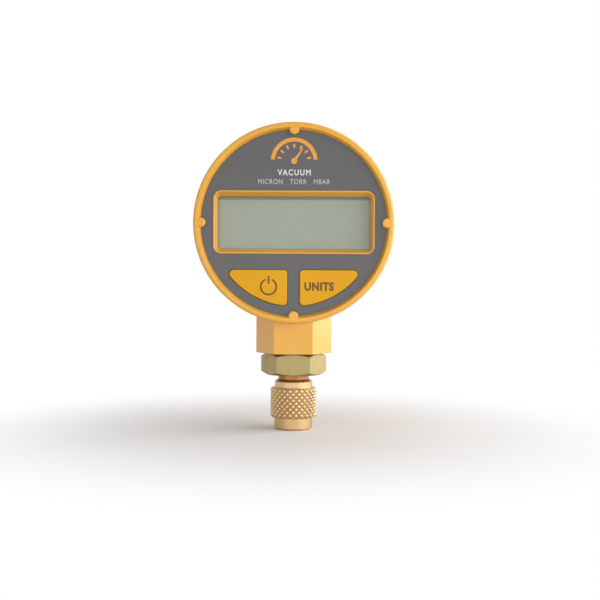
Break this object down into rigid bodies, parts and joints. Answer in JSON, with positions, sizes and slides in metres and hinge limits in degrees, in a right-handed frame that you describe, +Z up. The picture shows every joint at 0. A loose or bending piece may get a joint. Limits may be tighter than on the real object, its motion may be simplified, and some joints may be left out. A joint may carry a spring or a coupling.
{
  "type": "digital vacuum gauge",
  "caption": "Round battery-powered digital vacuum gauge with a blank display, push keys and a knurled brass swivel nut for a flare port.",
  "frame": {"origin": "centre of the swivel nut's open end, on the stem's axis", "axes": "+Z up the stem to the round case, +Y from the face into the case, +X to the right as the face is read"},
  "size_m": [0.0762, 0.038, 0.1179],
  "materials": {
    "case_yellow": "satin",
    "key_yellow": "satin",
    "face_grey": "matte",
    "clear_window": "gloss",
    "lcd_glass": "satin",
    "reflector_white": "matte",
    "holder_black": "matte",
    "strip_rubber": "matte",
    "board_green": "satin",
    "chip_black": "matte",
    "capacitor_case": "satin",
    "tin_metal": "satin",
    "plug_white": "satin",
    "switch_black": "satin",
    "seal_rubber": "matte",
    "battery_case": "satin",
    "snap_black": "satin",
    "lead_red": "satin",
    "lead_black": "satin",
    "foam_grey": "matte",
    "screw_steel": "satin",
    "bare_brass": "satin",
    "header_steel": "satin",
    "bead_glass": "gloss",
    "ribbon_grey": "satin"
  },
  "bodies": {
    "gauge": {"front_housing": "case_yellow", "rear_cover": "case_yellow", "battery_door": "case_yellow", "face_overlay": "face_grey", "display_window": "clear_window", "lcd_panel": "lcd_glass", "lcd_reflector": "reflector_white", "lcd_holder": "holder_black", "zebra_strip_upper": "strip_rubber", "zebra_strip_lower": "strip_rubber", "circuit_board": "board_green", "sensor_adapter": "board_green", "microcontroller": "chip_black", "resistors": "chip_black", "capacitors": "capacitor_case", "crystal": "tin_metal", "battery_connector": "plug_white", "sensor_connector": "plug_white", "power_switch": "switch_black", "units_switch": "switch_black", "rear_gasket": "seal_rubber", "sensor_oring": "seal_rubber", "flare_gasket": "seal_rubber", "battery_9v": "battery_case", "battery_snap": "snap_black", "battery_lead_red": "lead_red", "battery_lead_black": "lead_black", "battery_pad": "foam_grey", "cover_screws": "screw_steel", "door_screw": "screw_steel", "lock_washer": "screw_steel", "retaining_ring": "screw_steel", "locknut": "bare_brass", "brass_fitting": "bare_brass", "core_depressor": "bare_brass", "sensor_retainer": "bare_brass", "sensor_header": "header_steel", "sensor_pins": "header_steel", "thermistor_bead": "bead_glass", "sensor_ribbon": "ribbon_grey"},
    "nut": {"swivel_nut": "bare_brass"},
    "power_button": {"power_key": "key_yellow", "power_plunger": "switch_black"},
    "units_button": {"units_key": "key_yellow", "units_plunger": "switch_black"}
  },
  "joints": [
    {"name": "nut_swivel", "type": "hinge", "parent": "gauge", "child": "nut", "pos_m": [0, 0, 0.01], "axis": [0, 0, 1], "continuous": true},
    {"name": "power_press", "type": "slide", "parent": "gauge", "child": "power_button", "axis": [0, 1, 0], "range_m": [0, 0.0005], "stiffness_N_per_m": 1500},
    {"name": "units_press", "type": "slide", "parent": "gauge", "child": "units_button", "axis": [0, 1, 0], "range_m": [0, 0.0005], "stiffness_N_per_m": 1500}
  ]
}
